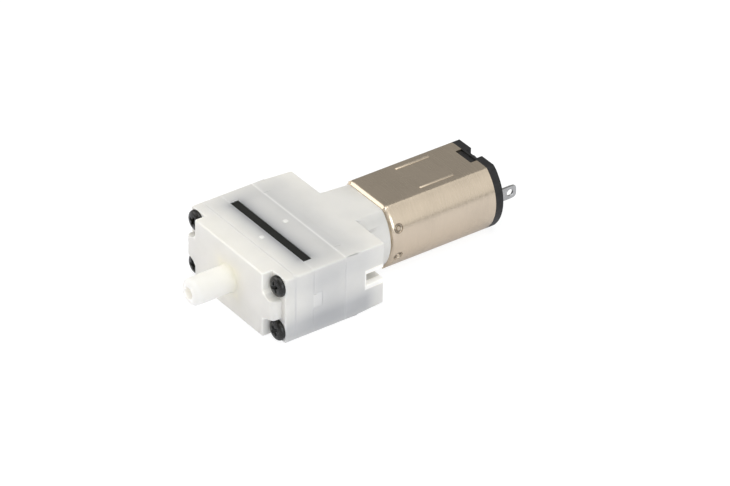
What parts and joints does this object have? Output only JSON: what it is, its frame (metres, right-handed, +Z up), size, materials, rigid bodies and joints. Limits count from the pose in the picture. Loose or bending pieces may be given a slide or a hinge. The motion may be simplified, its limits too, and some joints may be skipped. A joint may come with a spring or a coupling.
{
  "type": "micro vacuum pump",
  "caption": "Miniature motor-driven diaphragm pump: flat moulded head with a hose nozzle, and a flat-sided motor can with solder tabs behind it.",
  "frame": {"origin": "on the motor axis, in the front face of the cover, at the root of the hose nozzle", "axes": "+Y runs from the hose nozzle back to the motor terminals, along the motor axis; +Z is up, square to the flats of the motor; X is across the width of the head"},
  "size_m": [0.0266, 0.0611, 0.0121],
  "materials": {
    "milky_plastic": "moulded, translucent milky white with soft highlights",
    "silicone": "soft translucent sheet",
    "black_rubber": "matt black",
    "acetal": "moulded, waxy white",
    "black_screw": "black oxide, slightly glossy",
    "nickel_can": "warm satin nickel plate, brushed round the can",
    "magnet": "dark grey ferrite",
    "steel": "plain bright steel",
    "bronze": "sintered bronze",
    "copper": "bare or enamelled copper",
    "black_plastic": "matt black",
    "tinned_tab": "tinned sheet metal"
  },
  "bodies": {
    "housing": {"front_cover": "milky_plastic", "valve_plate": "milky_plastic", "diaphragm_frame": "milky_plastic", "crankcase": "milky_plastic", "cover_gasket": "silicone", "diaphragm": "black_rubber", "housing_screws": "black_screw", "motor_can": "nickel_can", "left_magnet": "magnet", "right_magnet": "magnet", "motor_screws": "steel", "magnet_spring": "steel", "front_bearing": "bronze", "rear_bearing": "bronze", "left_brush": "copper", "right_brush": "copper", "end_cap": "black_plastic", "left_terminal": "tinned_tab", "right_terminal": "tinned_tab"},
    "rotor": {"motor_shaft": "steel", "armature_core": "steel", "armature_windings": "copper", "commutator": "copper", "front_washer": "black_plastic", "rear_washer": "black_plastic", "crank_wheel": "acetal", "crank_pin": "steel"},
    "rocker": {"rocker": "acetal"},
    "inlet_valve_left_body": {"inlet_valve_left": "black_rubber"},
    "inlet_valve_right_body": {"inlet_valve_right": "black_rubber"},
    "outlet_valve_left_body": {"outlet_valve_left": "black_rubber"},
    "outlet_valve_right_body": {"outlet_valve_right": "black_rubber"}
  },
  "joints": [
    {"name": "rotor_spin", "type": "hinge", "parent": "housing", "child": "rotor", "pos_m": [0, 0.03, 0], "axis": [0, 1, 0], "continuous": true},
    {"name": "rocker_wobble", "type": "hinge", "parent": "rotor", "child": "rocker", "pos_m": [0, 0.0127, 0], "axis": [0, 0.9925, 0.1219], "continuous": true, "deforming": ["diaphragm"]},
    {"name": "inlet_valve_left_lift", "type": "slide", "parent": "housing", "child": "inlet_valve_left_body", "axis": [0, 1, 0], "range_m": [0, 0.0003]},
    {"name": "inlet_valve_right_lift", "type": "slide", "parent": "housing", "child": "inlet_valve_right_body", "axis": [0, 1, 0], "range_m": [0, 0.0003]},
    {"name": "outlet_valve_left_lift", "type": "slide", "parent": "housing", "child": "outlet_valve_left_body", "axis": [0, -1, 0], "range_m": [0, 0.0003]},
    {"name": "outlet_valve_right_lift", "type": "slide", "parent": "housing", "child": "outlet_valve_right_body", "axis": [0, -1, 0], "range_m": [0, 0.0003]}
  ],
  "couplings": [
    {"joint": "rocker_wobble", "follows": "rotor_spin", "ratio": -1}
  ]
}
